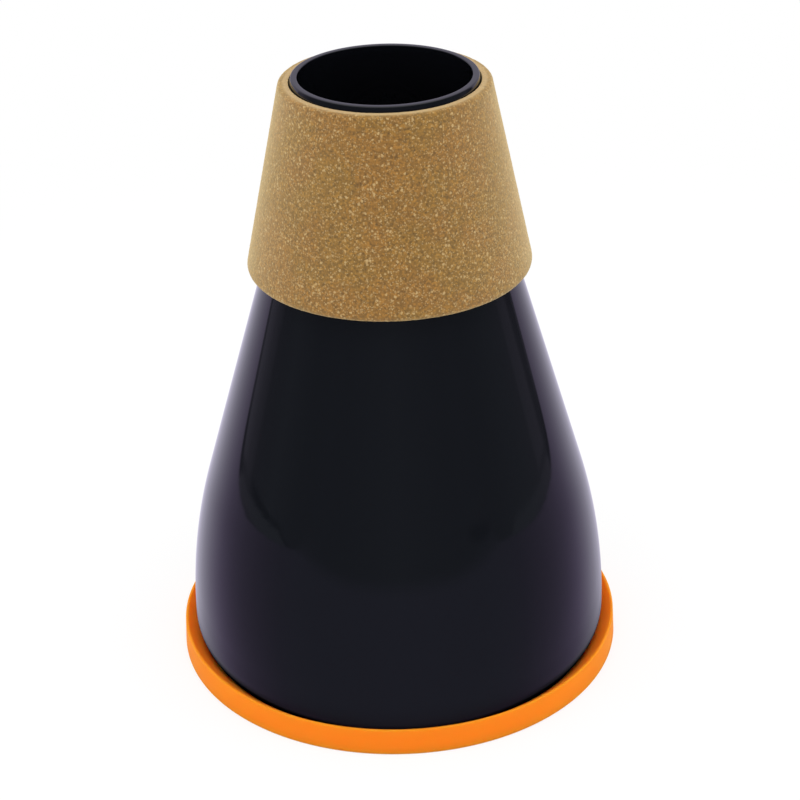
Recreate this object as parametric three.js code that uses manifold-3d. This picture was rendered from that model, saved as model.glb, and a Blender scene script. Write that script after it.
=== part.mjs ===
// A trumpet practice mute: a hollow plastic cone with a cork sleeve round its neck and a wide base.
// Millimetres, +Z up, origin at the centre of the underside, every piece round about the Z axis.
import * as THREE from "three";
import { mergeVertices } from "three/addons/utils/BufferGeometryUtils.js";
import Module from "manifold-3d";

const wasm = await Module();
wasm.setup();

// Facets round a full turn, and steps along a curve
const turnFacets = 64;
const tubeFacets = 32;
const softFacets = 32;
const holeFacets = 8;
const sideSteps = 6;
const footSteps = 3;
const edgeSteps = 2;

// Gaps between pieces that fit together
const fitClearance = 0.3;
const glueGap = 0.3;
const softGap = 0.3;
const cutOverrun = 1;

// Body shell
const totalHeight = 132.6;
const skirtRadius = 46.1;
const cornerHeight = 25.6;
const cornerReach = 17.3;
const neckFootRadius = 26.7;
const neckFootHeight = 91.5;
const lipRadius = 19.05;
const lipEdge = 0.5;
const shellWall = 1.4;
const footTuck = 2.3;

// Cork sleeve
const lipStand = 1.04;
const corkFootRadius = 30.05;
const corkTopRadius = 21.6;
const corkFootEdge = 1.3;
const corkTopEdge = 0.9;

// Base cap
const rimReach = 2.9;
const baseEdge = 0.5;
const rimHeight = 6.1;
const rimLean = 0.3;
const rimLand = 0.5;
const rimEdge = 0.35;
const slopeFoot = 3.2;
const grooveFloor = 2;
const footWidth = 8.5;
const recessDepth = 1;
const floorThickness = 2.2;
const spigotWall = 1.5;
const spigotEdge = 0.5;
const socketWall = 1.8;
const socketHeight = 9;

// Vent tube
const tubeRadius = 4.5;
const boreRadius = 3;
const tubeEdge = 0.4;
const flangeRadius = 6.4;
const flangeThickness = 1.5;

// Perforated baffles
const upperBaffleDrop = 9.5;
const lowerBaffleHeight = 45;
const webThickness = 1.4;
const baffleRimHeight = 4;
const baffleRimWall = 1.4;
const hubWall = 1.6;
const hubHeight = 5;
const hubEdge = 0.4;
const holeRadius = 1.9;
const upperHoleCounts = [8, 14, 20];
const lowerHoleCounts = [8, 14, 20, 26];

// Damping linings
const upperFoamThickness = 8;
const lowerFoamThickness = 12;
const feltThickness = 2;

// Heights and radii that follow from the sizes above
const skirtTop = cornerHeight - cornerReach;
const sideAngle = Math.atan((skirtRadius - neckFootRadius) / (neckFootHeight - cornerHeight));
const sideArcRadius = cornerReach / Math.tan(sideAngle / 2);
const sideArcTop = skirtTop + sideArcRadius * Math.sin(sideAngle);
const corkTopHeight = totalHeight - lipStand;
const floorTop = recessDepth + floorThickness;
const grooveRadius = sideRadiusAt(slopeFoot) + fitClearance;
const spigotRadius = sideRadiusAt(grooveFloor) - shellWall - fitClearance;
const baseRadius = skirtRadius + rimReach;
const rimRadius = baseRadius - rimLean;
const socketBore = tubeRadius + fitClearance;
const socketRadius = socketBore + socketWall;
const upperBaffleHeight = neckFootHeight - upperBaffleDrop;
const hubTop = upperBaffleHeight + hubHeight;

const finishes = {
  blackPlastic: { color: 0x16181c, roughness: 0.22, metalness: 0 },
  orangePlastic: { color: 0xf58321, roughness: 0.4, metalness: 0 },
  cork: { color: 0x967848, roughness: 0.85, metalness: 0 },
  innerPlastic: { color: 0x2a2b2e, roughness: 0.5, metalness: 0 },
  foam: { color: 0x3c3d40, roughness: 0.95, metalness: 0 },
  felt: { color: 0x4a4a4c, roughness: 1, metalness: 0 },
};

// Outer radius of the shell: a foot that curves in, an arc up to a cone, and the neck's steeper cone
function sideRadiusAt(height) {
  if (height <= skirtTop) {
    const footShare = (skirtTop - height) / (skirtTop - grooveFloor);
    return skirtRadius - footTuck * footShare ** 2;
  }
  if (height <= sideArcTop) {
    const climb = height - skirtTop;
    return skirtRadius - sideArcRadius + Math.sqrt(sideArcRadius ** 2 - climb ** 2);
  }
  if (height <= neckFootHeight) {
    return neckFootRadius + (neckFootHeight - height) * Math.tan(sideAngle);
  }
  const share = (height - neckFootHeight) / (totalHeight - neckFootHeight);
  return THREE.MathUtils.lerp(neckFootRadius, lipRadius, share);
}

// Corners up the shell's side between two heights, moved inward by the inset
function sideCorners(low, high, inset) {
  const bends = [neckFootHeight];
  for (let step = 0; step <= sideSteps; step += 1) {
    bends.push(THREE.MathUtils.lerp(skirtTop, sideArcTop, step / sideSteps));
  }
  for (let step = 1; step < footSteps; step += 1) {
    bends.push(THREE.MathUtils.lerp(grooveFloor, skirtTop, step / footSteps));
  }
  const between = bends.filter((height) => height > low && height < high).sort((a, b) => a - b);
  return [low, ...between, high].map((height) => [sideRadiusAt(height) - inset, height]);
}

// Points of a closed outline through corners [radius, height, edge], where an edge rounds the corner
function roundedOutline(corners) {
  const places = corners.map(([radius, height]) => new THREE.Vector2(radius, height));
  const points = [];
  corners.forEach(([, , edge = 0], index) => {
    const corner = places[index];
    if (edge === 0) {
      points.push(corner);
      return;
    }
    const before = places.at(index - 1);
    const after = places[(index + 1) % places.length];
    const from = before.clone().sub(corner).setLength(edge).add(corner);
    const to = after.clone().sub(corner).setLength(edge).add(corner);
    points.push(...new THREE.QuadraticBezierCurve(from, corner, to).getPoints(edgeSteps));
  });
  points.push(points[0].clone());
  return points;
}

// A solid turned about Z from corners that run anticlockwise, with radius to the right
function turned(corners, facets = turnFacets) {
  return new THREE.LatheGeometry(roundedOutline(corners), facets).rotateX(Math.PI / 2);
}

function toManifold(geometry) {
  const bare = geometry.clone();
  bare.deleteAttribute("normal");
  bare.deleteAttribute("uv");
  const merged = mergeVertices(bare);
  const mesh = new wasm.Mesh({
    numProp: 3,
    vertProperties: new Float32Array(merged.attributes.position.array),
    triVerts: new Uint32Array(merged.index.array),
  });
  return new wasm.Manifold(mesh);
}

function toGeometry(manifold) {
  const { vertProperties, triVerts } = manifold.getMesh();
  const geometry = new THREE.BufferGeometry();
  geometry.setAttribute("position", new THREE.BufferAttribute(new Float32Array(vertProperties), 3));
  geometry.setIndex(new THREE.BufferAttribute(new Uint32Array(triVerts), 1));
  geometry.computeVertexNormals();
  return geometry;
}

function bodyShell() {
  return turned([
    ...sideCorners(grooveFloor, totalHeight, 0).slice(0, -1),
    [lipRadius, totalHeight, lipEdge],
    [lipRadius - shellWall, totalHeight, lipEdge],
    ...sideCorners(grooveFloor, totalHeight, shellWall).slice(0, -1).reverse(),
  ]);
}

function neckCork() {
  return turned([
    [neckFootRadius + glueGap, neckFootHeight],
    [corkFootRadius, neckFootHeight, corkFootEdge],
    [corkTopRadius, corkTopHeight, corkTopEdge],
    [sideRadiusAt(corkTopHeight) + glueGap, corkTopHeight],
  ]);
}

// The rim stands outside the shell's foot and slopes down to it, the spigot stands inside it, and the
// socket holds the tube
function baseCap() {
  return turned([
    [boreRadius, recessDepth, tubeEdge],
    [baseRadius - footWidth - recessDepth, recessDepth],
    [baseRadius - footWidth, 0],
    [baseRadius, 0, baseEdge],
    [rimRadius, rimHeight, rimEdge],
    [rimRadius - rimLand, rimHeight],
    [grooveRadius, slopeFoot],
    [grooveRadius, grooveFloor],
    [spigotRadius, grooveFloor],
    [spigotRadius, skirtTop, spigotEdge],
    [spigotRadius - spigotWall, skirtTop, spigotEdge],
    [spigotRadius - spigotWall, floorTop],
    [socketRadius, floorTop],
    [socketRadius, floorTop + socketHeight, spigotEdge],
    [socketBore, floorTop + socketHeight],
    [socketBore, floorTop],
    [boreRadius, floorTop],
  ]);
}

// The tube stands on the floor of the socket and hangs by its flange on the upper baffle's hub
function ventTube() {
  const corners = [
    [boreRadius, floorTop],
    [tubeRadius, floorTop],
    [tubeRadius, hubTop],
    [flangeRadius, hubTop],
    [flangeRadius, hubTop + flangeThickness, tubeEdge],
    [boreRadius, hubTop + flangeThickness, tubeEdge],
  ];
  return turned(corners, tubeFacets);
}

// Rings of holes in the web, the rings evenly spaced between the hub and the rim
function ringHoles(height, innerRadius, outerRadius, counts) {
  const length = webThickness + cutOverrun + cutOverrun;
  return counts.flatMap((count, ringIndex) => {
    const ringShare = (ringIndex + 0.5) / counts.length;
    const ring = THREE.MathUtils.lerp(innerRadius, outerRadius, ringShare);
    return Array.from({ length: count }, (_, index) => {
      const angle = (index / count) * Math.PI * 2;
      const drill = new THREE.CylinderGeometry(holeRadius, holeRadius, length, holeFacets);
      drill.rotateX(Math.PI / 2);
      drill.translate(ring * Math.cos(angle), ring * Math.sin(angle), height + webThickness / 2);
      return toManifold(drill);
    });
  });
}

// A dish with a hub for the tube and a rim that bears on the inside of the cone
function baffle(height, holeCounts) {
  const inset = shellWall + fitClearance;
  const hubBore = tubeRadius + fitClearance;
  const hubRadius = hubBore + hubWall;
  const webTop = height + webThickness;
  const rimTop = height + baffleRimHeight;
  const rimInside = sideRadiusAt(rimTop) - inset - baffleRimWall;
  const disc = turned([
    [hubBore, height],
    ...sideCorners(height, rimTop, inset),
    [rimInside, rimTop],
    [rimInside, webTop],
    [hubRadius, webTop],
    [hubRadius, height + hubHeight, hubEdge],
    [hubBore, height + hubHeight],
  ]);
  let solid = toManifold(disc);
  for (const drill of ringHoles(height, hubRadius, rimInside, holeCounts)) {
    solid = solid.subtract(drill);
  }
  return toGeometry(solid);
}

// A ring of foam that lines the inside of the shell between two heights
function wallFoam(low, high, thickness) {
  const inset = shellWall + softGap;
  const corners = [
    ...sideCorners(low, high, inset),
    ...sideCorners(low, high, inset + thickness).reverse(),
  ];
  return turned(corners, softFacets);
}

function upperFoam() {
  const low = lowerBaffleHeight + baffleRimHeight + softGap;
  return wallFoam(low, upperBaffleHeight - softGap, upperFoamThickness);
}

function lowerFoam() {
  return wallFoam(skirtTop + softGap, lowerBaffleHeight - softGap, lowerFoamThickness);
}

function baseFelt() {
  const inside = socketRadius + softGap;
  const outside = spigotRadius - spigotWall - softGap;
  const low = floorTop + softGap;
  const corners = [
    [inside, low],
    [outside, low],
    [outside, low + feltThickness],
    [inside, low + feltThickness],
  ];
  return turned(corners, softFacets);
}

function piece(name, geometry, finish) {
  const mesh = new THREE.Mesh(geometry, new THREE.MeshStandardMaterial(finish));
  mesh.name = name;
  return mesh;
}

const practiceMute = new THREE.Group();
practiceMute.name = "practice_mute";
practiceMute.add(
  piece("body_shell", bodyShell(), finishes.blackPlastic),
  piece("neck_cork", neckCork(), finishes.cork),
  piece("base_cap", baseCap(), finishes.orangePlastic),
  piece("vent_tube", ventTube(), finishes.innerPlastic),
  piece("upper_baffle", baffle(upperBaffleHeight, upperHoleCounts), finishes.innerPlastic),
  piece("lower_baffle", baffle(lowerBaffleHeight, lowerHoleCounts), finishes.innerPlastic),
  piece("upper_foam", upperFoam(), finishes.foam),
  piece("lower_foam", lowerFoam(), finishes.foam),
  piece("base_felt", baseFelt(), finishes.felt),
);

export default practiceMute;
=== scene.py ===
# A practice mute for a brass instrument: glossy black cone, cork sleeve, orange base, damped chamber
import math

import bpy
from mathutils import Matrix, Vector


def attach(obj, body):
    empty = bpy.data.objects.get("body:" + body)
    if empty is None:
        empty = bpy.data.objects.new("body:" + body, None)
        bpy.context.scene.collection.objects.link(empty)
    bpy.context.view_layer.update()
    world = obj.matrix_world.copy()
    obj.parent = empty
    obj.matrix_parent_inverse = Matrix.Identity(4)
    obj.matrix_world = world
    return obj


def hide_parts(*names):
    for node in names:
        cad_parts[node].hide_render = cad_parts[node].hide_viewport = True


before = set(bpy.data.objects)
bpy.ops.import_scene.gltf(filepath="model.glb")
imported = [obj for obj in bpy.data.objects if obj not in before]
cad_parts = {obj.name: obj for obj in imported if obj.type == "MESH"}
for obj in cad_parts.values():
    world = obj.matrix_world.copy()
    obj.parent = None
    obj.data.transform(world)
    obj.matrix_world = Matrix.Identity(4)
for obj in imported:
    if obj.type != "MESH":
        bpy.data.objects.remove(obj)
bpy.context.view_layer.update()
mm = 0.001

bpy.context.scene.view_settings.view_transform = "Standard"

# The camera stands in front of the mute and looks down on it, with a slight lean
view = {"distance": 404.1, "height": 274.83, "pitch": 28.185, "yaw": 0.196, "roll": -1.473,
        "lens": 94.94, "sensor": 36, "clip": 20}


def addCamera():
    camera = bpy.data.objects.new("viewCamera", bpy.data.cameras.new("viewCamera"))
    bpy.context.scene.collection.objects.link(camera)
    camera.data.lens = view["lens"]
    camera.data.sensor_width = view["sensor"]
    camera.data.clip_start = view["clip"] * mm
    turn = Matrix.Rotation(-math.radians(view["yaw"]), 4, "Z")
    tilt = Matrix.Rotation(math.radians(90 - view["pitch"]), 4, "X")
    lean = Matrix.Rotation(math.radians(view["roll"]), 4, "Z")
    place = Matrix.Translation((0, -view["distance"] * mm, view["height"] * mm))
    camera.matrix_world = place @ turn @ tilt @ lean
    bpy.context.scene.camera = camera


addCamera()
print("camera placed")


# Editing helpers. Sizes are in millimetres until they reach Blender.

def selectOnly(piece):
    active = bpy.context.view_layer.objects.active
    if active is not None and active.mode != "OBJECT":
        bpy.ops.object.mode_set(mode="OBJECT")
    bpy.ops.object.select_all(action="DESELECT")
    if piece is not None:
        piece.select_set(True)
        bpy.context.view_layer.objects.active = piece


def clearPicks(piece, kind):
    selectOnly(piece)
    bpy.ops.object.mode_set(mode="EDIT")
    bpy.ops.mesh.select_mode(type=kind)
    bpy.ops.mesh.select_all(action="DESELECT")
    bpy.ops.object.mode_set(mode="OBJECT")


def pickVertices(piece, test):
    clearPicks(piece, "VERT")
    for vertex in piece.data.vertices:
        vertex.select = test(vertex.co / mm)
    bpy.ops.object.mode_set(mode="EDIT")


def pickEdges(piece, test):
    clearPicks(piece, "EDGE")
    places = [vertex.co / mm for vertex in piece.data.vertices]
    for edge in piece.data.edges:
        edge.select = test(places[edge.vertices[0]], places[edge.vertices[1]])
    bpy.ops.object.mode_set(mode="EDIT")


def pickFaces(piece, test):
    clearPicks(piece, "FACE")
    for face in piece.data.polygons:
        face.select = test(face.center / mm, face.normal)
    bpy.ops.object.mode_set(mode="EDIT")


def applyModifier(piece, kind, **settings):
    selectOnly(piece)
    modifier = piece.modifiers.new(kind.title(), kind)
    for name, value in settings.items():
        setattr(modifier, name, value)
    bpy.ops.object.modifier_apply(modifier=modifier.name)


# Within how many millimetres points merge, belong to a corner or lie on a line, how far a share may
# overrun the line, and from how many rows a face is cut
drawing = {"merge": 0.002, "corner": 0.01, "line": 0.004, "overrun": 0.001, "cutFrom": 1.5}


def liesAlong(point, start, end):
    run = end - start
    share = (point - start).dot(run) / run.length_squared
    beside = (start + run * share - point).length
    return -drawing["overrun"] < share < 1 + drawing["overrun"] and beside < drawing["line"]


# One point, extruded from corner to corner round a closed outline in the XZ plane. A corner is
# (radius, height, rounding, row): the rounding is its edge radius, the row the longest face from it
# to the next corner. The last one or two may be left out.
def drawOutline(name, corners, segments):
    selectOnly(None)
    bpy.ops.mesh.primitive_plane_add(size=mm)
    piece = bpy.context.object
    piece.name = piece.data.name = name
    places = [Vector((corner[0], 0, corner[1])) for corner in corners]
    nexts = places[1:] + places[:1]
    bpy.ops.object.mode_set(mode="EDIT")
    bpy.ops.mesh.select_mode(type="VERT")
    bpy.ops.mesh.select_all(action="SELECT")
    bpy.ops.mesh.merge(type="CENTER")
    bpy.ops.transform.translate(value=places[0] * mm)
    for here, there in zip(places, nexts):
        bpy.ops.mesh.extrude_vertices_move(TRANSFORM_OT_translate={"value": (there - here) * mm})
    bpy.ops.mesh.select_all(action="SELECT")
    bpy.ops.mesh.remove_doubles(threshold=drawing["merge"] * mm)
    for place, corner in zip(places, corners):
        if len(corner) > 2 and corner[2] > 0:
            pickVertices(piece, lambda point: (point - place).length < drawing["corner"])
            bpy.ops.mesh.bevel(offset=corner[2] * mm, segments=segments, profile=0.5, affect="VERTICES")
    for here, there, corner in zip(places, nexts, corners):
        if len(corner) > 3:
            cutRows(piece, here, there, corner[3])
    return piece


# Cuts the long faces between two corners into rows
def cutRows(piece, here, there, row):
    def isLong(first, second):
        both = liesAlong(first, here, there) and liesAlong(second, here, there)
        return both and (second - first).length > row * drawing["cutFrom"]
    pickEdges(piece, isLong)
    bpy.ops.object.mode_set(mode="OBJECT")
    points = piece.data.vertices
    longest = 0
    for edge in piece.data.edges:
        if edge.select:
            first, second = (points[index].co / mm for index in edge.vertices)
            longest = max(longest, (second - first).length)
    cuts = round(longest / row) - 1
    if cuts > 0:
        bpy.ops.object.mode_set(mode="EDIT")
        bpy.ops.mesh.subdivide(number_cuts=cuts)


# Spins the outline once round the Z axis into a closed ring
def turnOutline(piece, steps):
    selectOnly(piece)
    bpy.ops.object.mode_set(mode="EDIT")
    bpy.ops.mesh.select_all(action="SELECT")
    bpy.ops.mesh.spin(steps=steps, angle=math.tau, center=(0, 0, 0), axis=(0, 0, 1))
    bpy.ops.mesh.select_all(action="SELECT")
    bpy.ops.mesh.remove_doubles(threshold=drawing["merge"] * mm)
    bpy.ops.mesh.normals_make_consistent(inside=False)
    bpy.ops.object.mode_set(mode="OBJECT")
    return piece


# Moves the surface in and out by a cloudy noise
def roughen(piece, name, size, strength):
    texture = bpy.data.textures.new(name, "CLOUDS")
    texture.noise_scale = size * mm
    texture.noise_depth = 3
    applyModifier(piece, "DISPLACE", texture=texture, texture_coords="LOCAL", strength=strength * mm,
                  mid_level=0.5)


# Shades a piece, gives it its material and puts it in place of its CAD node
def finishPiece(piece, node, finish, smoothTo=35):
    selectOnly(piece)
    bpy.ops.object.shade_smooth_by_angle(angle=math.radians(smoothTo))
    piece.data.materials.clear()
    piece.data.materials.append(finish)
    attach(piece, "root")
    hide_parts(node)


# Shader helpers: a wire is a socket that can stand in a sum, and each sum adds its Math node

class Wire:
    def __init__(self, shader, socket):
        self.shader = shader
        self.socket = socket

    def other(self, name):
        return Wire(self.shader, self.socket.node.outputs[name])

    def math(self, operation, first, second=0.0, third=0.0):
        values = {0: first, 1: second, 2: third}
        return self.shader.node("Math", {"operation": operation}, values)

    def __add__(self, other):
        return self.math("ADD", self, other)

    def __radd__(self, other):
        return self.math("ADD", other, self)

    def __sub__(self, other):
        return self.math("SUBTRACT", self, other)

    def __rsub__(self, other):
        return self.math("SUBTRACT", other, self)

    def __mul__(self, other):
        return self.math("MULTIPLY", self, other)

    def __rmul__(self, other):
        return self.math("MULTIPLY", other, self)

    def __truediv__(self, other):
        return self.math("DIVIDE", self, other)

    def __rtruediv__(self, other):
        return self.math("DIVIDE", other, self)

    def __abs__(self):
        return self.math("ABSOLUTE", self)

    # How far this is past a value, and 0 before it
    def past(self, value):
        return self.math("MAXIMUM", self - value, 0.0)


class Shader:
    def __init__(self, owner):
        owner.use_nodes = True
        self.tree = owner.node_tree
        self.tree.nodes.clear()

    # Adds a node: its settings first, a ramp's stops among them, then its sockets' values or wires
    def node(self, kind, settings=None, inputs=None, output=0):
        node = self.tree.nodes.new("ShaderNode" + kind)
        for name, value in (settings or {}).items():
            if name == "stops":
                ramp = node.color_ramp
                while len(ramp.elements) < len(value):
                    ramp.elements.new(0.5)
                for element, (position, tone) in zip(ramp.elements, value):
                    element.position = position
                    element.color = tone
            else:
                setattr(node, name, value)
        for name, value in (inputs or {}).items():
            if isinstance(value, Wire):
                self.tree.links.new(value.socket, node.inputs[name])
            else:
                node.inputs[name].default_value = value
        return Wire(self, node.outputs[output]) if node.outputs else None

    def mix(self, share, first, second, blend="MIX"):
        settings = {"data_type": "RGBA", "blend_type": blend}
        return self.node("Mix", settings, {0: share, 6: first, 7: second}, 2)

    # 0 below the low value, 1 above the high one, and a smooth step between
    def step(self, value, low, high):
        inputs = {"Value": value, "From Min": low, "From Max": high}
        return self.node("MapRange", {"interpolation_type": "SMOOTHSTEP"}, inputs)

    def noise(self, place, size, detail, roughness=0.5):
        inputs = {"Vector": place, "Scale": 1 / (size * mm), "Detail": detail, "Roughness": roughness}
        return self.node("TexNoise", None, inputs)

    def grains(self, place, size):
        return self.node("TexVoronoi", {"feature": "F1"}, {"Vector": place, "Scale": 1 / (size * mm)})

    # Distance from the Z axis, from the parts of a place
    def fromAxis(self, parts):
        flat = self.node("CombineXYZ", None, {0: parts, 1: parts.other("Y")})
        return self.node("VectorMath", {"operation": "LENGTH"}, {0: flat}, "Value")

    def bump(self, height, depth, strength):
        return self.node("Bump", None, {"Height": height, "Distance": depth * mm, "Strength": strength})


def grey(tone):
    return (tone, tone, tone, 1)


# A colour as a picture editor gives it, from 0 to 255, made linear
def paint(red, green, blue):
    def linear(tone):
        share = tone / 255
        return share / 12.92 if share < 0.04045 else ((share + 0.055) / 1.055) ** 2.4
    return (linear(red), linear(green), linear(blue), 1)


# The stops of a ramp of greys that runs from the low value to the high one
def tones(stops, low, high):
    return {"stops": [((value - low) / (high - low), grey(tone)) for value, tone in stops]}


def startFinish(name):
    finish = bpy.data.materials.new(name)
    shader = Shader(finish)
    place = shader.node("TexCoord", output="Object")
    return finish, shader, place


def closeFinish(shader, inputs):
    surface = shader.node("BsdfPrincipled", None, inputs)
    shader.node("OutputMaterial", None, {"Surface": surface})


print("helpers ready")


# The shell's side, shared by all that stands round or inside it: a foot that curves in, an arc, a cone
# and the neck's steeper cone
side = {"skirtRadius": 46.1, "cornerHeight": 25.6, "cornerReach": 17.3, "neckFootRadius": 26.7,
        "neckFootHeight": 91.5, "lipRadius": 19.05, "totalHeight": 132.6, "wall": 1.4,
        "footHeight": 2, "footTuck": 2.3, "footSteps": 9, "arcSteps": 20}
sideAngle = math.atan((side["skirtRadius"] - side["neckFootRadius"])
                      / (side["neckFootHeight"] - side["cornerHeight"]))
sideArc = side["cornerReach"] / math.tan(sideAngle / 2)
skirtTop = side["cornerHeight"] - side["cornerReach"]
arcTop = skirtTop + sideArc * math.sin(sideAngle)


def sideRadiusAt(height):
    if height <= skirtTop:
        footShare = (skirtTop - height) / (skirtTop - side["footHeight"])
        return side["skirtRadius"] - side["footTuck"] * footShare ** 2
    if height <= arcTop:
        return side["skirtRadius"] - sideArc + math.sqrt(sideArc ** 2 - (height - skirtTop) ** 2)
    if height <= side["neckFootHeight"]:
        return side["neckFootRadius"] + (side["neckFootHeight"] - height) * math.tan(sideAngle)
    share = (height - side["neckFootHeight"]) / (side["totalHeight"] - side["neckFootHeight"])
    return side["neckFootRadius"] + (side["lipRadius"] - side["neckFootRadius"]) * share


# Corners up the side between two heights, moved in by the inset
def sideCorners(low, high, inset, row):
    foot, footSteps, arcSteps = side["footHeight"], side["footSteps"], side["arcSteps"]
    heights = [foot + (skirtTop - foot) * step / footSteps for step in range(1, footSteps)]
    heights += [skirtTop + (arcTop - skirtTop) * step / arcSteps for step in range(arcSteps + 1)]
    heights = [height for height in [*heights, side["neckFootHeight"]] if low < height < high]
    return [(sideRadiusAt(height) - inset, height, 0, row) for height in [low, *heights, high]]


# Body shell: thin moulded cone with a rounded lip, polished black
shell = {"footEdge": 0.25, "lipEdge": 0.25, "row": 2.5, "steps": 256, "edgeSteps": 6,
         "black": (0.0040, 0.0046, 0.0064, 1), "dust": (0.02, 0.02, 0.022, 1),
         "smearSize": 22, "fineSize": 1.4, "speckSize": 1.9, "smearFrom": (0.4, 0.75),
         "speckFade": (0.03, 0.06), "speckFrom": (0.55, 0.6), "speckTone": 0.5, "rough": 0.028,
         "smearRough": 0.02, "speckRough": 0.2, "ior": 1.5, "smearWave": 3, "waveDepth": 0.004,
         "waveStrength": 0.25}


def blackGloss():
    finish, shader, place = startFinish("blackGloss")
    smear = shader.noise(place, shell["smearSize"], detail=3)
    fine = shader.noise(place, shell["fineSize"], detail=2)
    specks = shader.grains(place, shell["speckSize"])
    isSpeck = 1 - shader.step(specks, *shell["speckFade"])
    isSpeck = isSpeck * shader.step(specks.other("Color"), *shell["speckFrom"])
    colour = shader.mix(isSpeck * shell["speckTone"], shell["black"], shell["dust"])
    roughness = shell["rough"] + shell["smearRough"] * shader.step(smear, *shell["smearFrom"])
    roughness = roughness + shell["speckRough"] * isSpeck
    wave = shader.bump(fine + shell["smearWave"] * smear, shell["waveDepth"], shell["waveStrength"])
    closeFinish(shader, {"Base Color": colour, "Roughness": roughness, "IOR": shell["ior"],
                         "Normal": wave})
    return finish


def makeShell():
    low, top, wall, edge = side["footHeight"], side["totalHeight"], side["wall"], shell["lipEdge"]
    outside = sideCorners(low, top, 0, shell["row"])
    inside = sideCorners(low, top, wall, shell["row"])
    corners = [(*outside[0][:2], shell["footEdge"], shell["row"]), *outside[1:-1],
               (side["lipRadius"], top, edge), (side["lipRadius"] - wall, top, edge, shell["row"]),
               *reversed(inside[1:-1]), (*inside[0][:2], shell["footEdge"])]
    piece = turnOutline(drawOutline("bodyShell", corners, shell["edgeSteps"]), shell["steps"])
    finishPiece(piece, "body_shell", blackGloss())


makeShell()
print("body shell made")


# Cork sleeve: pressed cork grains turned to a cone, with a smooth cut face round the lip
cork = {"lipStand": 1.04, "footRadius": 30.05, "topRadius": 21.6, "footEdge": 1.3, "topEdge": 0.7,
        "gap": 0.3, "row": 0.5, "steps": 340, "edgeSteps": 5, "smoothTo": 60, "relief": 0.1,
        "reliefSize": 0.7,
        # Sizes in the pattern, and the noise that bends the grains
        "patch": 9, "mottle": 0.45, "crumb": 0.42, "speck": 0.6, "fleck": 0.38, "wander": 0.5,
        "bend": 0.55,
        # Which of them show, how they fade to their edges, and how strongly they are mixed in
        "patchFrom": (0.36, 0.64), "speckFrom": (0.84, 0.94), "fleckFrom": (0.5, 0.85),
        "pitFrom": (0.86, 0.94), "grainFade": (0.3, 0.6), "pitFade": (0.1, 0.4), "speckShare": 0.65,
        "fleckShare": 0.48, "pitShare": 0.45, "leastTone": 0.06, "mottleTone": 1.3, "crumbTone": 0.45,
        # The cut face, from a height under the top and up to the rounded edge: partly its own paler
        # tone, partly painted top light
        "cutFrom": 0.6, "cutTo": 0.3, "cutWithin": 0.6, "cutBeyond": 0.1, "cutShare": 0.6,
        "rough": 0.8, "crumbRough": 0.15, "shine": 0.4, "sheen": 0.65, "sheenRough": 0.55,
        "sheenTint": (1.0, 0.82, 0.46, 1), "crumbRelief": 0.6, "mottleRelief": 0.4,
        "grainDepth": 0.1, "grainStrength": 0.5,
        "ruddy": paint(138, 96, 39), "olive": paint(135, 98, 39), "dark": paint(82, 58, 25),
        "pale": paint(190, 161, 111), "cutFaceAndTopLight": paint(190, 160, 117)}


def corkFinish():
    finish, shader, place = startFinish("pressedCork")
    wander = {"Vector": place, "Scale": 1 / (cork["wander"] * mm)}
    bend = {0: shader.node("TexNoise", None, wander, "Color"), 1: (cork["bend"] * mm,) * 3, 2: place}
    bent = shader.node("VectorMath", {"operation": "MULTIPLY_ADD"}, bend)
    patches = shader.noise(place, cork["patch"], detail=2)
    colour = shader.mix(shader.step(patches, *cork["patchFrom"]), cork["ruddy"], cork["olive"])
    mottle = shader.noise(place, cork["mottle"], detail=2)
    crumbs = shader.grains(bent, cork["crumb"])
    crumb = shader.node("SeparateColor", None, {"Color": crumbs.other("Color")})
    tone = cork["leastTone"] + cork["mottleTone"] * mottle + cork["crumbTone"] * crumb * crumb
    colour = shader.mix(1.0, colour, tone, "MULTIPLY")
    specks = shader.grains(bent, cork["speck"])
    speck = shader.node("SeparateColor", None, {"Color": specks.other("Color")})
    flecks = shader.grains(bent, cork["fleck"])
    fleck = shader.node("SeparateColor", None, {"Color": flecks.other("Color")})
    isSpeck = shader.step(speck, *cork["speckFrom"]) * (1 - shader.step(specks, *cork["grainFade"]))
    isFleck = shader.step(fleck, *cork["fleckFrom"]) * (1 - shader.step(flecks, *cork["grainFade"]))
    isPit = shader.step(fleck.other("Green"), *cork["pitFrom"])
    isPit = isPit * (1 - shader.step(flecks, *cork["pitFade"]))
    colour = shader.mix(isPit * cork["pitShare"], colour, cork["dark"])
    colour = shader.mix(isFleck * cork["fleckShare"], colour, cork["pale"])
    colour = shader.mix(isSpeck * cork["speckShare"], colour, cork["pale"])
    parts = shader.node("SeparateXYZ", None, {"Vector": place})
    across = shader.fromAxis(parts)
    top, flat = side["totalHeight"] - cork["lipStand"], cork["topRadius"] - cork["topEdge"]
    # Paler cut face on top: partly the cut cork's own tone, partly painted light on the top face
    cutFaceAndTopLight = shader.step(parts.other("Z"), (top - cork["cutFrom"]) * mm, (top - cork["cutTo"]) * mm)
    low, high = flat - cork["cutWithin"], flat + cork["cutBeyond"]
    cutFaceAndTopLight = cutFaceAndTopLight * (1 - shader.step(across, low * mm, high * mm))
    colour = shader.mix(cutFaceAndTopLight * cork["cutShare"], colour, cork["cutFaceAndTopLight"])
    relief = (1 - crumbs) * cork["crumbRelief"] + mottle * cork["mottleRelief"]
    closeFinish(shader, {"Base Color": colour, "Roughness": cork["rough"] + cork["crumbRough"] * crumb,
                         "Specular IOR Level": cork["shine"], "Sheen Weight": cork["sheen"],
                         "Sheen Roughness": cork["sheenRough"], "Sheen Tint": cork["sheenTint"],
                         "Normal": shader.bump(relief, cork["grainDepth"], cork["grainStrength"])})
    return finish


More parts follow.
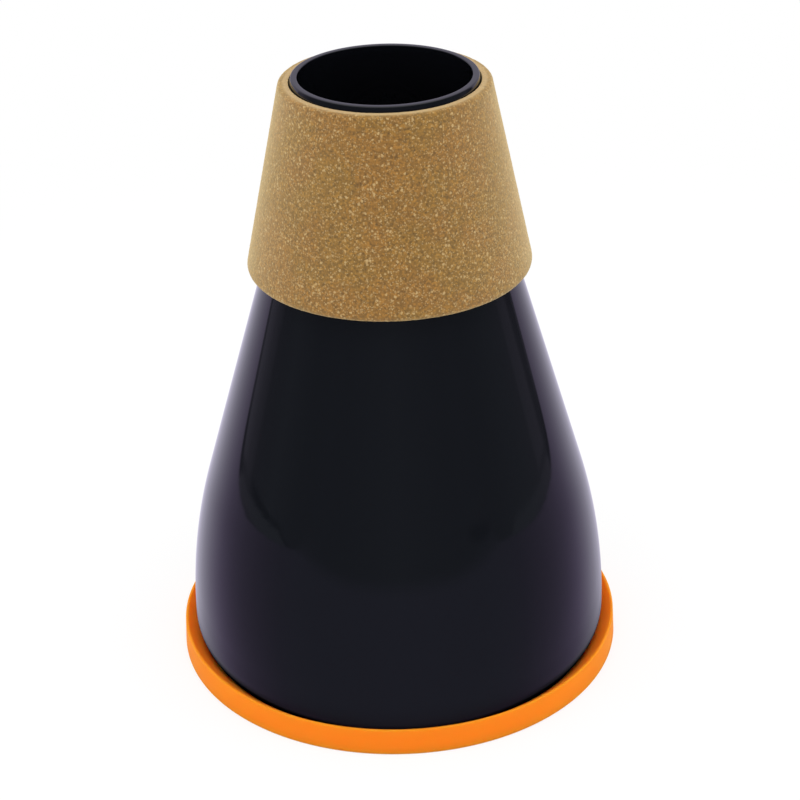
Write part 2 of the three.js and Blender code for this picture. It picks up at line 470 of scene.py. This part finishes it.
def makeCork():
    foot, top = side["neckFootHeight"], side["totalHeight"] - cork["lipStand"]
    gap, row = cork["gap"], cork["row"]
    corners = [(side["neckFootRadius"] + gap, foot), (cork["footRadius"], foot, cork["footEdge"], row),
               (cork["topRadius"], top, cork["topEdge"], row), (sideRadiusAt(top) + gap, top)]
    piece = turnOutline(drawOutline("neckCork", corners, cork["edgeSteps"]), cork["steps"])
    roughen(piece, "corkRelief", cork["reliefSize"], cork["relief"])
    finishPiece(piece, "neck_cork", corkFinish(), cork["smoothTo"])


makeCork()
print("cork sleeve made")


# Base cap: satin orange moulding. Its rim slopes down inside to a groove for the shell's foot, with a
# spigot within and a socket for the vent.
base = {"radius": 49, "baseEdge": 0.5, "rimHeight": 6.1, "rimLean": 0.3, "rimLand": 0.5,
        "rimEdge": 0.25, "landEdge": 0.12, "slopeFoot": 3.2, "slopeEdge": 0.1, "gap": 0.3,
        "footWidth": 8.5, "footEdge": 0.3, "recess": 1, "floorTop": 3.2, "floorEdge": 0.4,
        "spigotWall": 1.5, "spigotEdge": 0.5, "boreRadius": 3, "boreEdge": 0.4, "tubeRadius": 4.5,
        "socketWall": 1.8, "socketHeight": 9, "row": 3, "steps": 256, "edgeSteps": 5,
        "orange": (0.95, 0.222, 0.014, 1), "worn": (0.96, 0.28, 0.03, 1), "cloudSize": 18,
        "sparkSize": 0.35, "rubSize": 3, "rubFrom": (0.55, 0.75), "wearDepth": 0.4, "wearShare": 0.3,
        "cloudShare": 0.05, "rough": 0.46, "cloudRough": 0.1, "wearRough": 0.1, "shine": 0.06,
        "bleed": 5, "bleedColour": (1.0, 0.6, 0.3), "sparkDepth": 0.02, "sparkStrength": 0.3}


def orangeSatin():
    finish, shader, place = startFinish("orangeSatin")
    cloud = shader.noise(place, base["cloudSize"], detail=3)
    spark = shader.noise(place, base["sparkSize"], detail=2)
    rub = shader.noise(place, base["rubSize"], detail=4, roughness=0.7)
    height = shader.node("SeparateXYZ", None, {"Vector": place}, "Z")
    rimTop = base["rimHeight"] * mm
    wear = shader.step(height, rimTop - base["wearDepth"] * mm, rimTop)
    wear = wear * shader.step(rub, *base["rubFrom"])
    share = wear * base["wearShare"] + cloud * base["cloudShare"]
    colour = shader.mix(share, base["orange"], base["worn"])
    roughness = base["rough"] + base["cloudRough"] * cloud - base["wearRough"] * wear
    closeFinish(shader, {"Base Color": colour, "Roughness": roughness,
                         "Specular IOR Level": base["shine"], "Subsurface Weight": 1.0,
                         "Subsurface Radius": base["bleedColour"],
                         "Subsurface Scale": base["bleed"] * mm,
                         "Normal": shader.bump(spark, base["sparkDepth"], base["sparkStrength"])})
    return finish


def makeBase():
    recess, floorTop, bore, row = base["recess"], base["floorTop"], base["boreRadius"], base["row"]
    radius, rimTop, grooveFloor = base["radius"], base["rimHeight"], side["footHeight"]
    socketTop = floorTop + base["socketHeight"]
    footEdge, floorEdge, spigotEdge = base["footEdge"], base["floorEdge"], base["spigotEdge"]
    rim = radius - base["rimLean"]
    foot = radius - base["footWidth"]
    groove = sideRadiusAt(base["slopeFoot"]) + base["gap"]
    spigot = sideRadiusAt(grooveFloor) - side["wall"] - base["gap"]
    inside = spigot - base["spigotWall"]
    socketBore = base["tubeRadius"] + base["gap"]
    socket = socketBore + base["socketWall"]
    corners = [(bore, recess, base["boreEdge"], row), (foot - recess, recess, footEdge),
               (foot, 0, footEdge, row), (radius, 0, base["baseEdge"], row),
               (rim, rimTop, base["rimEdge"]), (rim - base["rimLand"], rimTop, base["landEdge"], row),
               (groove, base["slopeFoot"], base["slopeEdge"]), (groove, grooveFloor),
               (spigot, grooveFloor), (spigot, skirtTop, spigotEdge), (inside, skirtTop, spigotEdge),
               (inside, floorTop, floorEdge, row), (socket, floorTop, floorEdge, row),
               (socket, socketTop, spigotEdge), (socketBore, socketTop), (socketBore, floorTop),
               (bore, floorTop)]
    piece = turnOutline(drawOutline("baseCap", corners, base["edgeSteps"]), base["steps"])
    finishPiece(piece, "base_cap", orangeSatin())
    piece.visible_glossy = False    # the black gloss doesn't mirror the orange


makeBase()
print("base cap made")


# Vent tube: stands in the base's socket and hangs by its flange on the upper baffle's hub
tube = {"radius": 4.5, "bore": 3, "foot": 3.2, "hubTop": 87, "flangeRadius": 6.4, "flange": 1.5,
        "edge": 0.4, "footEdge": 0.2, "row": 4, "steps": 96, "edgeSteps": 4,
        "black": (0.022, 0.022, 0.025, 1), "clouded": grey(0.032), "cloudSize": 9, "sparkSize": 0.3,
        "rough": 0.42, "cloudRough": 0.14, "sparkDepth": 0.02, "sparkStrength": 0.4}


def innerPlastic():
    finish, shader, place = startFinish("innerPlastic")
    cloud = shader.noise(place, tube["cloudSize"], detail=3)
    spark = shader.noise(place, tube["sparkSize"], detail=2)
    colour = shader.mix(cloud, tube["black"], tube["clouded"])
    closeFinish(shader, {"Base Color": colour, "Roughness": tube["rough"] + tube["cloudRough"] * cloud,
                         "Normal": shader.bump(spark, tube["sparkDepth"], tube["sparkStrength"])})
    return finish


insidePlastic = innerPlastic()


def makeTube():
    top = tube["hubTop"] + tube["flange"]
    edge, footEdge, row = tube["edge"], tube["footEdge"], tube["row"]
    corners = [(tube["bore"], tube["foot"], footEdge), (tube["radius"], tube["foot"], footEdge, row),
               (tube["radius"], tube["hubTop"]), (tube["flangeRadius"], tube["hubTop"], footEdge),
               (tube["flangeRadius"], top, edge), (tube["bore"], top, edge, row)]
    piece = turnOutline(drawOutline("ventTube", corners, tube["edgeSteps"]), tube["steps"])
    finishPiece(piece, "vent_tube", insidePlastic)


makeTube()
print("vent tube made")


# Perforated baffles: a dish with a hub for the tube, a rim on the cone's inside and rings of holes
baffles = {"web": 1.4, "webEdge": 0.5, "rimHeight": 4, "rimWall": 1.4, "rimEdge": 0.3, "hubWall": 1.6,
           "hubHeight": 5, "hubEdge": 0.4, "holeRadius": 1.9, "holeEdge": 0.25, "holeSides": 24,
           "pinStand": 1, "capFacing": 0.9, "gap": 0.3, "steps": 128, "edgeSteps": 4,
           "upper": {"height": 82, "counts": (8, 14, 20)},
           "lower": {"height": 45, "counts": (8, 14, 20, 26)}}


# A pin with flared ends, so that the hole it cuts has eased edges
def makePin(height):
    edge, radius, web = baffles["holeEdge"], baffles["holeRadius"], baffles["web"]
    flare = (radius + edge) / radius
    selectOnly(None)
    bpy.ops.mesh.primitive_cylinder_add(vertices=baffles["holeSides"], radius=radius * mm,
                                        depth=(web - 2 * edge) * mm,
                                        location=(0, 0, (height + web / 2) * mm))
    pin = bpy.context.object
    bpy.ops.object.transform_apply(location=True)
    for way in (1, -1):
        middle = (height + web / 2 + way * web / 2) * mm
        pickFaces(pin, lambda centre, normal: normal.z * way > baffles["capFacing"])
        bpy.ops.mesh.extrude_region_move(TRANSFORM_OT_translate={"value": (0, 0, way * edge * mm)})
        bpy.ops.transform.resize(value=(flare, flare, 1), center_override=(0, 0, middle))
        stand = (0, 0, way * baffles["pinStand"] * mm)
        bpy.ops.mesh.extrude_region_move(TRANSFORM_OT_translate={"value": stand})
    bpy.ops.mesh.select_all(action="SELECT")
    bpy.ops.mesh.normals_make_consistent(inside=False)
    bpy.ops.object.mode_set(mode="OBJECT")
    return pin


# The pins of all rings between two radii, joined
def makePins(height, inner, outer, counts):
    first = makePin(height)
    pins = []
    for ringIndex, count in enumerate(counts):
        ring = (inner + (outer - inner) * (ringIndex + 0.5) / len(counts)) * mm
        for index in range(count):
            pin = first.copy()
            pin.data = first.data.copy()
            angle = math.tau * index / count
            pin.data.transform(Matrix.Translation((ring * math.cos(angle), ring * math.sin(angle), 0)))
            bpy.context.scene.collection.objects.link(pin)
            pins.append(pin)
    bpy.data.objects.remove(first)
    selectOnly(pins[0])
    for pin in pins:
        pin.select_set(True)
    bpy.ops.object.join()
    return pins[0]


def makeBaffle(name, node, height, counts):
    inset = side["wall"] + baffles["gap"]
    bore = tube["radius"] + baffles["gap"]
    hub = bore + baffles["hubWall"]
    webTop, rimTop = height + baffles["web"], height + baffles["rimHeight"]
    rimInside = sideRadiusAt(rimTop) - inset - baffles["rimWall"]
    hubTop = height + baffles["hubHeight"]
    rimEdge, webEdge = baffles["rimEdge"], baffles["webEdge"]
    corners = [(bore, height), (sideRadiusAt(height) - inset, height),
               (sideRadiusAt(rimTop) - inset, rimTop, rimEdge), (rimInside, rimTop, rimEdge),
               (rimInside, webTop, webEdge), (hub, webTop, webEdge), (hub, hubTop, baffles["hubEdge"]),
               (bore, hubTop)]
    piece = turnOutline(drawOutline(name, corners, baffles["edgeSteps"]), baffles["steps"])
    pins = makePins(height, hub, rimInside, counts)
    applyModifier(piece, "BOOLEAN", operation="DIFFERENCE", solver="EXACT", object=pins)
    bpy.data.objects.remove(pins)
    finishPiece(piece, node, insidePlastic)


makeBaffle("upperBaffle", "upper_baffle", **baffles["upper"])
makeBaffle("lowerBaffle", "lower_baffle", **baffles["lower"])
print("baffles made")


# Foam linings: soft open-cell rings with a dimpled face towards the chamber
foam = {"inset": 1.7, "edge": 1.5, "row": 4, "steps": 72, "edgeSteps": 3, "dimple": 1.4,
        "dimpleRim": 0.7, "margin": 0.5, "wallTilt": 0.5, "relief": 0.5, "reliefSize": 2.2,
        "smoothTo": 80, "fill": 0.7,
        "dark": grey(0.035), "pale": grey(0.075), "cellSize": 0.9, "cellFade": (0.15, 0.6),
        "smallSize": 0.5, "smallFade": (0.2, 0.6), "cloudSize": 12, "cellShare": 0.6, "smallShare": 0.4,
        "poreShare": 0.7, "cloudShare": 0.3, "rough": 0.95, "shine": 0.2, "sheen": 0.3,
        "poreDepth": 0.35, "poreStrength": 0.8,
        "upper": {"low": 49.3, "high": 81.7, "thickness": 8},
        "lower": {"low": 8.6, "high": 44.7, "thickness": 12}}


def foamFinish():
    finish, shader, place = startFinish("openCellFoam")
    cells = shader.grains(place, foam["cellSize"])
    small = shader.grains(place, foam["smallSize"])
    cloud = shader.noise(place, foam["cloudSize"], detail=3)
    pore = shader.step(cells, *foam["cellFade"]) * foam["cellShare"]
    pore = pore + shader.step(small, *foam["smallFade"]) * foam["smallShare"]
    share = pore * foam["poreShare"] + cloud * foam["cloudShare"]
    colour = shader.mix(share, foam["dark"], foam["pale"])
    closeFinish(shader, {"Base Color": colour, "Roughness": foam["rough"],
                         "Specular IOR Level": foam["shine"], "Sheen Weight": foam["sheen"],
                         "Normal": shader.bump(pore, foam["poreDepth"], foam["poreStrength"])})
    return finish


def makeFoam(name, node, finish, low, high, thickness):
    inset, edge, row = foam["inset"], foam["edge"], foam["row"]
    corners = [(sideRadiusAt(low) - inset, low, edge, row), *sideCorners(low, high, inset, row)[1:-1],
               (sideRadiusAt(high) - inset, high, edge),
               (sideRadiusAt(high) - inset - thickness, high, edge, row),
               (sideRadiusAt(low) - inset - thickness, low, edge)]
    piece = turnOutline(drawOutline(name, corners, foam["edgeSteps"]), foam["steps"])
    margin = edge + foam["margin"]

    def isFace(centre, normal):
        inward = normal.x * centre.x + normal.y * centre.y < 0
        return inward and abs(normal.z) < foam["wallTilt"] and low + margin < centre.z < high - margin
    pickFaces(piece, isFace)
    bpy.ops.mesh.inset(thickness=foam["dimpleRim"] * mm, use_individual=True)
    bpy.ops.transform.shrink_fatten(value=-foam["dimple"] * mm)
    bpy.ops.object.mode_set(mode="OBJECT")
    applyModifier(piece, "SUBSURF", levels=1, render_levels=1)
    roughen(piece, name + "Relief", foam["reliefSize"], foam["relief"])
    finishPiece(piece, node, finish, foam["smoothTo"])


foamLining = foamFinish()
makeFoam("upperFoam", "upper_foam", foamLining, **foam["upper"])
makeFoam("lowerFoam", "lower_foam", foamLining, **foam["lower"])
print("foam linings made")


# Felt ring on the floor of the base
felt = {"inside": 6.9, "outside": 40.3, "low": 3.5, "thickness": 2, "edge": 0.7, "row": 1.6,
        "steps": 160, "edgeSteps": 3, "relief": 0.25, "reliefSize": 2.5, "smoothTo": 80, "fill": 0.3,
        "dark": grey(0.05), "pale": grey(0.12), "fibreSize": 0.5, "tuftSize": 5, "fibreShare": 0.7,
        "tuftShare": 0.3, "shine": 0.15, "sheen": 0.5, "fibreDepth": 0.25, "fibreStrength": 0.8}


def feltFinish():
    finish, shader, place = startFinish("greyFelt")
    fibres = shader.noise(place, felt["fibreSize"], detail=6, roughness=0.7)
    tufts = shader.noise(place, felt["tuftSize"], detail=4)
    share = fibres * felt["fibreShare"] + tufts * felt["tuftShare"]
    colour = shader.mix(share, felt["dark"], felt["pale"])
    closeFinish(shader, {"Base Color": colour, "Roughness": 1.0, "Specular IOR Level": felt["shine"],
                         "Sheen Weight": felt["sheen"],
                         "Normal": shader.bump(fibres, felt["fibreDepth"], felt["fibreStrength"])})
    return finish


def makeFelt():
    high, edge, row = felt["low"] + felt["thickness"], felt["edge"], felt["row"]
    corners = [(felt["inside"], felt["low"], edge, row), (felt["outside"], felt["low"], edge),
               (felt["outside"], high, edge, row), (felt["inside"], high, edge)]
    piece = turnOutline(drawOutline("baseFelt", corners, felt["edgeSteps"]), felt["steps"])
    roughen(piece, "feltRelief", felt["reliefSize"], felt["relief"])
    finishPiece(piece, "base_felt", feltFinish(), felt["smoothTo"])


makeFelt()
print("felt made")


# Plain pale floor: white to the camera, with the mute's soft shadow kept round its foot. The gloss
# mirrors it only close round the base, where it holds a painted shadow that only reflections show,
# and past that the studio. How much of the studio shows is told by radius, for the front and for the
# sides, where the painted shadow is wider.
floor = {"size": 6000, "white": grey(0.9), "shadowShare": 0.22, "plainFrom": 90, "plainTo": 320,
         "shownFrom": 44, "shownTo": 64, "sideFrom": (0.1, 0.8),
         "front": [(44.5, 0), (45.4, 0.2), (46, 0.5), (47.2, 0.72), (49.9, 0.87), (60, 1)],
         "side": [(45, 0), (46, 0.06), (47.2, 0.16), (49.9, 0.58), (53, 0.83), (60, 1)]}


def makeFloor():
    selectOnly(None)
    bpy.ops.mesh.primitive_plane_add(size=floor["size"] * mm)
    piece = bpy.context.object
    piece.name = "floor"
    finish, shader, place = startFinish("floorWhite")
    lit = shader.node("BsdfDiffuse", None, {"Color": floor["white"]})
    plain = shader.node("Emission", None, {"Color": grey(1), "Strength": 1.0})
    rays = shader.node("LightPath", output="Is Camera Ray")
    parts = shader.node("SeparateXYZ", None, {"Vector": place})
    radius = shader.fromAxis(parts) / mm
    shadowShare = floor["shadowShare"] * (1 - shader.step(radius, floor["plainFrom"], floor["plainTo"]))
    seen = shader.node("MixShader", None, {0: rays * (1 - shadowShare), 1: lit, 2: plain})
    low, high = floor["shownFrom"], floor["shownTo"]
    share = {"Fac": (radius - low) / (high - low)}
    front = shader.node("ValToRGB", tones(floor["front"], low, high), share)
    sides = shader.node("ValToRGB", tones(floor["side"], low, high), share)
    toSide = shader.step(abs(parts) / mm / radius, *floor["sideFrom"])
    # Painted shadow round the foot: black that only the gloss sees
    dark = shader.node("Emission", None, {"Color": grey(0)})
    clear = shader.node("BsdfTransparent")
    shown = shader.mix(toSide, front, sides)
    mirrored = shader.node("MixShader", None, {0: shown, 1: dark, 2: clear})
    surface = shader.node("MixShader", None, {0: rays.other("Is Glossy Ray"), 1: seen, 2: mirrored})
    shader.node("OutputMaterial", None, {"Surface": surface})
    piece.data.materials.append(finish)


makeFloor()
print("floor laid")


# Studio that the gloss mirrors: a dim room in front inside a dark frame, and a pale table that gets
# brighter towards the back. Tones stand at azimuths from the camera's side, positive to the right, and
# heights are elevations, all in degrees. A pair is where a change starts and where it is complete.
studio = {"ambient": 0.88, "turn": 0.6, "toRight": (-40, 40), "toSide": (90, 125),
          "room": [(-122, 0.25), (-115, 0.245), (-111, 0.21), (-107, 0.17), (-102, 0.14), (-99, 0.095),
                   (-90, 0.10), (-80, 0.12), (-60, 0.09), (-35, 0.09), (0, 0.12), (35, 0.09),
                   (60, 0.09), (80, 0.11), (98, 0.115), (100, 0.16), (109, 0.16), (111.5, 0.085),
                   (120, 0.06)],
          "table": [(0, 0.185), (45, 0.17), (70, 0.18), (85, 0.235), (95, 0.285), (105, 0.37),
                    (115, 0.49), (125, 0.655), (135, 0.79), (147, 0.9), (180, 0.93)],
          "steel": (0.88, 0.85, 1.27, 1), "violet": (0.955, 0.76, 1.285, 1), "violetFrom": (50, 88),
          "pale": (0.957, 0.91, 1.133, 1), "paleFrom": (0.35, 0.95),
          "neutral": (0.885, 0.955, 1.16, 1), "lilac": (0.95, 0.88, 1.17, 1), "lilacFrom": (80, 108),
          # The table far off, and near the foot, where a painted shadow of the mute darkens it
          "farTone": 0.85, "far": (11, 22), "nearLeft": 0.9, "nearRight": 0.8, "nearShadow": (27, 34),
          "rightTone": 0.94,
          # The room's lower edge, its side edge and how many degrees a pixel takes along them
          "edge": -3.5, "edgeFrom": 55, "edgeFall": 0.13, "edgeBend": 0.00055, "frontDrop": 1.8,
          "dropFrom": 25, "sideEdge": 120.6, "sideLean": 1.3, "leanFrom": -10, "sideUnit": 1.3,
          "round": 22, "unit": 0.03, "unitFrom": 80, "unitGrowth": 0.002, "softFront": 100,
          "sharpFrom": (45, 62), "fade": (-1, 1),
          # The sill in the lower edge, the thin line within and the thick one at the left
          "sill": 0.6, "sillTone": 0.17, "sillFrom": (64, 74), "sillTo": (107, 115),
          "sillOuter": (0.8, 2.4), "sillInner": (-1.5, 0), "lineTone": 0.12, "lineDrop": 0.08,
          "dropBelow": (11, 12.6), "lineWidth": 2, "lineFrom": (60, 70), "lineOuter": (-0.8, 0.4),
          "lineInner": (0, 1.5), "thickTone": 0.035, "thickFrom": (58, 68), "thickTo": (92, 104),
          "thickOuter": (-1, 0.5), "thickInner": (4.5, 7),
          # A dark spot in front at the right, level with the room's edge
          "spot": (48.5, -2.05), "spotReach": (8, 0.3), "spotFall": 0.107, "spotEdge": (0.2, 1.4),
          "spotTone": 0.5,
          "back": (0.57, 0.54, 0.67, 1), "backUp": (-8, 4), "backFrom": (120, 124),
          "overhead": 0.9, "overheadFrom": (42, 58)}


def makeStudio():
    world = bpy.data.worlds.new("studio")
    bpy.context.scene.world = world
    world.cycles.sampling_method = "NONE"
    shader = Shader(world)
    away = shader.node("TexCoord", output="Generated")
    across = shader.node("SeparateXYZ", None, {"Vector": away}, "X")
    degrees = 180 / math.pi
    azimuth = across.math("ARCTAN2", across, 0 - across.other("Y")) * degrees
    elevation = across.math("ARCSINE", across.other("Z")) * degrees
    aside = abs(azimuth - studio["turn"])
    below = 0 - elevation
    toRight = shader.step(azimuth, *studio["toRight"])
    toSide = shader.step(aside, *studio["toSide"])

    # The table. At the sides it is darker far off, close to the foot, where this is a painted shadow of
    # the mute, and to the right.
    table = shader.node("ValToRGB", tones(studio["table"], 0, 180), {"Fac": aside / 180})
    far = 1 - (1 - studio["farTone"]) * toSide * (1 - shader.step(below, *studio["far"]))
    nearTone = studio["nearLeft"] + (studio["nearRight"] - studio["nearLeft"]) * toRight
    nearShadow = 1 - (1 - nearTone) * toSide * shader.step(below, *studio["nearShadow"])
    dim = 1 - (1 - studio["rightTone"]) * toRight * toSide
    tableTint = shader.mix(shader.step(aside, *studio["violetFrom"]), studio["steel"], studio["violet"])
    tableTint = shader.mix(shader.step(table, *studio["paleFrom"]), tableTint, studio["pale"])
    table = shader.mix(1.0, table * far * nearShadow * dim, tableTint, "MULTIPLY")

    # The room. Its depth counts pixels inward from the lower and the side edge, with a round corner.
    # Inside the lower edge lies a paler sill, and a dark line runs round within.
    room = shader.node("ValToRGB", tones(studio["room"], -180, 180), {"Fac": (azimuth + 180) / 360})
    past = aside.past(studio["edgeFrom"])
    edge = studio["edge"] - studio["edgeFall"] * past - studio["edgeBend"] * past * past
    edge = edge - studio["frontDrop"] * (1 - shader.step(aside, studio["dropFrom"], studio["edgeFrom"]))
    unit = studio["unit"] + studio["unitGrowth"] * aside.past(studio["unitFrom"])
    sideEdge = studio["sideEdge"] + studio["sideLean"] * (elevation - studio["leanFrom"])
    fromSide = (sideEdge - aside) / studio["sideUnit"]
    sill = studio["sill"] * (1 - shader.step(aside, *studio["sillTo"]))
    sill = sill * shader.step(aside, *studio["sillFrom"])
    depth = aside.math("SMOOTH_MIN", (elevation - edge) / unit, fromSide, studio["round"])
    inner = aside.math("SMOOTH_MIN", (elevation - edge - sill) / unit, fromSide, studio["round"])
    isSill = shader.step(depth, *studio["sillOuter"]) * (1 - shader.step(inner, *studio["sillInner"]))
    pastLine = shader.step(inner - studio["lineWidth"], *studio["lineInner"])
    isLine = shader.step(inner, *studio["lineOuter"]) * (1 - pastLine)
    isLine = isLine * shader.step(aside, *studio["lineFrom"])
    isThick = shader.step(inner, *studio["thickOuter"])
    isThick = isThick * (1 - shader.step(inner, *studio["thickInner"]))
    isThick = isThick * (1 - toRight) * shader.step(aside, *studio["thickFrom"])
    isThick = isThick * (1 - shader.step(aside, *studio["thickTo"]))
    lineTone = studio["lineTone"] - studio["lineDrop"] * shader.step(below, *studio["dropBelow"])
    room = shader.mix(isLine, room, lineTone)
    room = shader.mix(isThick, room, grey(studio["thickTone"]))
    room = shader.mix(isSill, room, grey(studio["sillTone"]))
    roomTint = shader.mix(shader.step(aside, *studio["lilacFrom"]), studio["neutral"], studio["lilac"])
    room = shader.mix(1.0, room, roomTint, "MULTIPLY")
    soft = 1 + (studio["softFront"] - 1) * (1 - shader.step(aside, *studio["sharpFrom"]))
    mirrored = shader.mix(shader.step(depth / soft, *studio["fade"]), table, room)

    # The spot, a flat ellipse that falls to the right
    (spotAt, spotHeight), (spotWide, spotHigh) = studio["spot"], studio["spotReach"]
    spotAside = (azimuth - spotAt) / spotWide
    spotUp = (elevation - spotHeight + studio["spotFall"] * (azimuth - spotAt)) / spotHigh
    isSpot = 1 - shader.step(spotAside * spotAside + spotUp * spotUp, *studio["spotEdge"])
    mirrored = shader.mix(isSpot * (1 - studio["spotTone"]), mirrored, grey(0))

    # The wall behind the mute and the light over it. The camera sees plain white, and all that isn't
    # mirrored is an even grey.
    behind = shader.step(elevation, *studio["backUp"]) * shader.step(aside, *studio["backFrom"])
    mirrored = shader.mix(behind, mirrored, studio["back"])
    above = shader.step(elevation, *studio["overheadFrom"])
    mirrored = shader.mix(above, mirrored, grey(studio["overhead"]))
    rays = shader.node("LightPath", output="Is Camera Ray")
    seen = shader.mix(rays.other("Is Glossy Ray"), grey(studio["ambient"]), mirrored)
    seen = shader.mix(rays, seen, grey(1))
    surface = shader.node("Background", None, {"Color": seen, "Strength": 1.0})
    shader.node("OutputWorld", None, {"Surface": surface})


makeStudio()

# Soft round lamps, which the gloss doesn't mirror, all turned to the middle of the mute
lamps = {"overhead": {"place": (0, -150, 1000), "size": 900, "power": 4.2},
         "front": {"place": (0, -950, 170), "size": 700, "power": 0.55},
         "left": {"place": (-900, -260, 350), "size": 700, "power": 1.25},
         "right": {"place": (900, -260, 350), "size": 700, "power": 1.25}}
lampTarget = (0, 0, 70)


def addLamp(name, place, size, power):
    data = bpy.data.lights.new(name + "Lamp", "AREA")
    lamp = bpy.data.objects.new(name + "Lamp", data)
    bpy.context.scene.collection.objects.link(lamp)
    data.shape = "DISK"
    data.size = size * mm
    data.energy = power
    lamp.location = Vector(place) * mm
    lamp.rotation_euler = (Vector(place) - Vector(lampTarget)).to_track_quat("Z", "Y").to_euler()
    lamp.visible_glossy = False
    lamp.visible_camera = False


for lampName, lampFacts in lamps.items():
    addLamp(lampName, **lampFacts)
print("studio lit")
